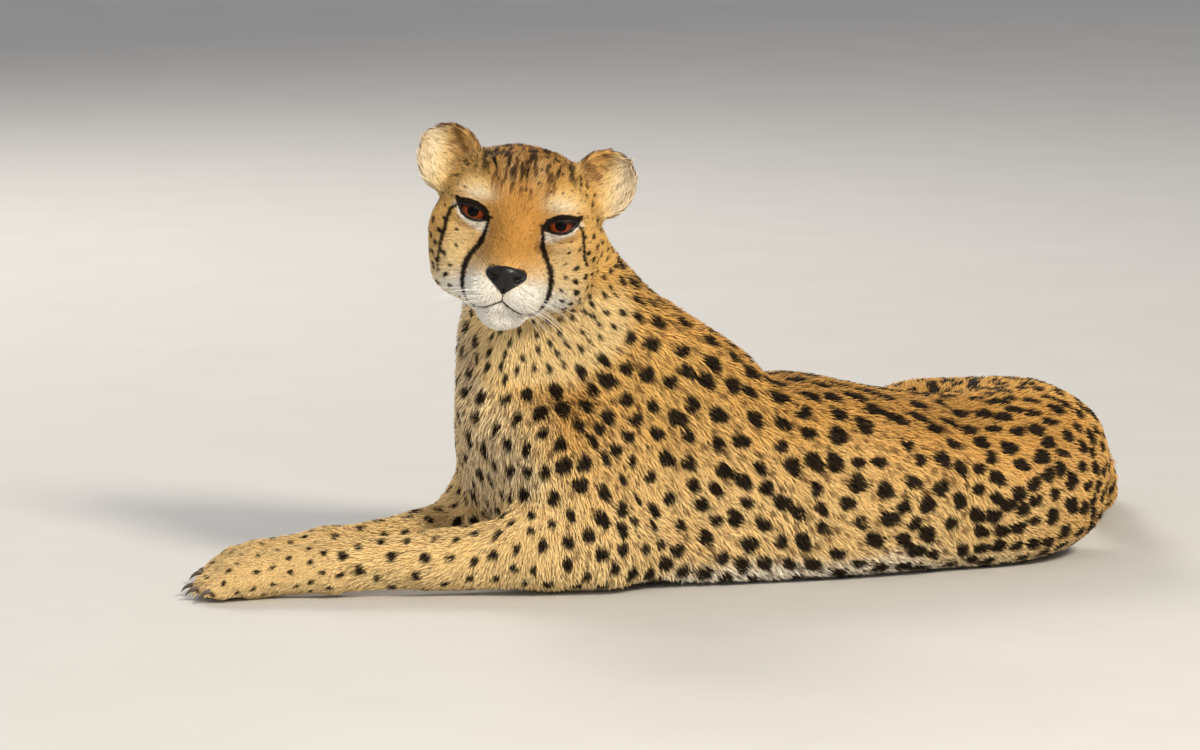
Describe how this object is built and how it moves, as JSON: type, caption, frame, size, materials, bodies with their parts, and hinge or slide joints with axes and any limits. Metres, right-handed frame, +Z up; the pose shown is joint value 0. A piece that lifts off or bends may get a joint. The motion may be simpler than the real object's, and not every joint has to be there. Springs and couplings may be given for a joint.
{
  "type": "cheetah",
  "caption": "Young cheetah lying with its head up and turned to its left, forelegs stretched out, hips rolled on one side and the tail curled round behind.",
  "frame": {"origin": "on the floor under the middle of the bounding box", "axes": "+Z up, the head end towards -X, the cat's left side towards -Y"},
  "size_m": [0.9106, 0.6046, 0.3819],
  "materials": {
    "coat": "short fur with black spots",
    "paw_coat": "short pale fur with small dark spots",
    "ear_coat": "short fur, dark behind",
    "tail_coat": "fur with black rings and a white tip",
    "nose_leather": "moist bare skin",
    "eyes": "wet and glossy"
  },
  "bodies": {
    "root": {"eye_left": "eyes", "eye_right": "eyes", "ear_left": "ear_coat", "ear_right": "ear_coat", "nose": "nose_leather", "face": "coat", "head": "coat", "paw_fore_left": "paw_coat", "forearm_fore_left": "coat", "upper_arm_fore_left": "coat", "paw_hind_left": "paw_coat", "shank_hind_left": "coat", "thigh_hind_left": "coat", "paw_fore_right": "paw_coat", "forearm_fore_right": "coat", "upper_arm_fore_right": "coat", "paw_hind_right": "paw_coat", "shank_hind_right": "coat", "thigh_hind_right": "coat", "tail_base": "coat", "neck": "coat", "chest": "coat", "loin": "coat", "rump": "coat", "tail_middle": "coat", "tail_tip": "tail_coat"}
  },
  "joints": []
}
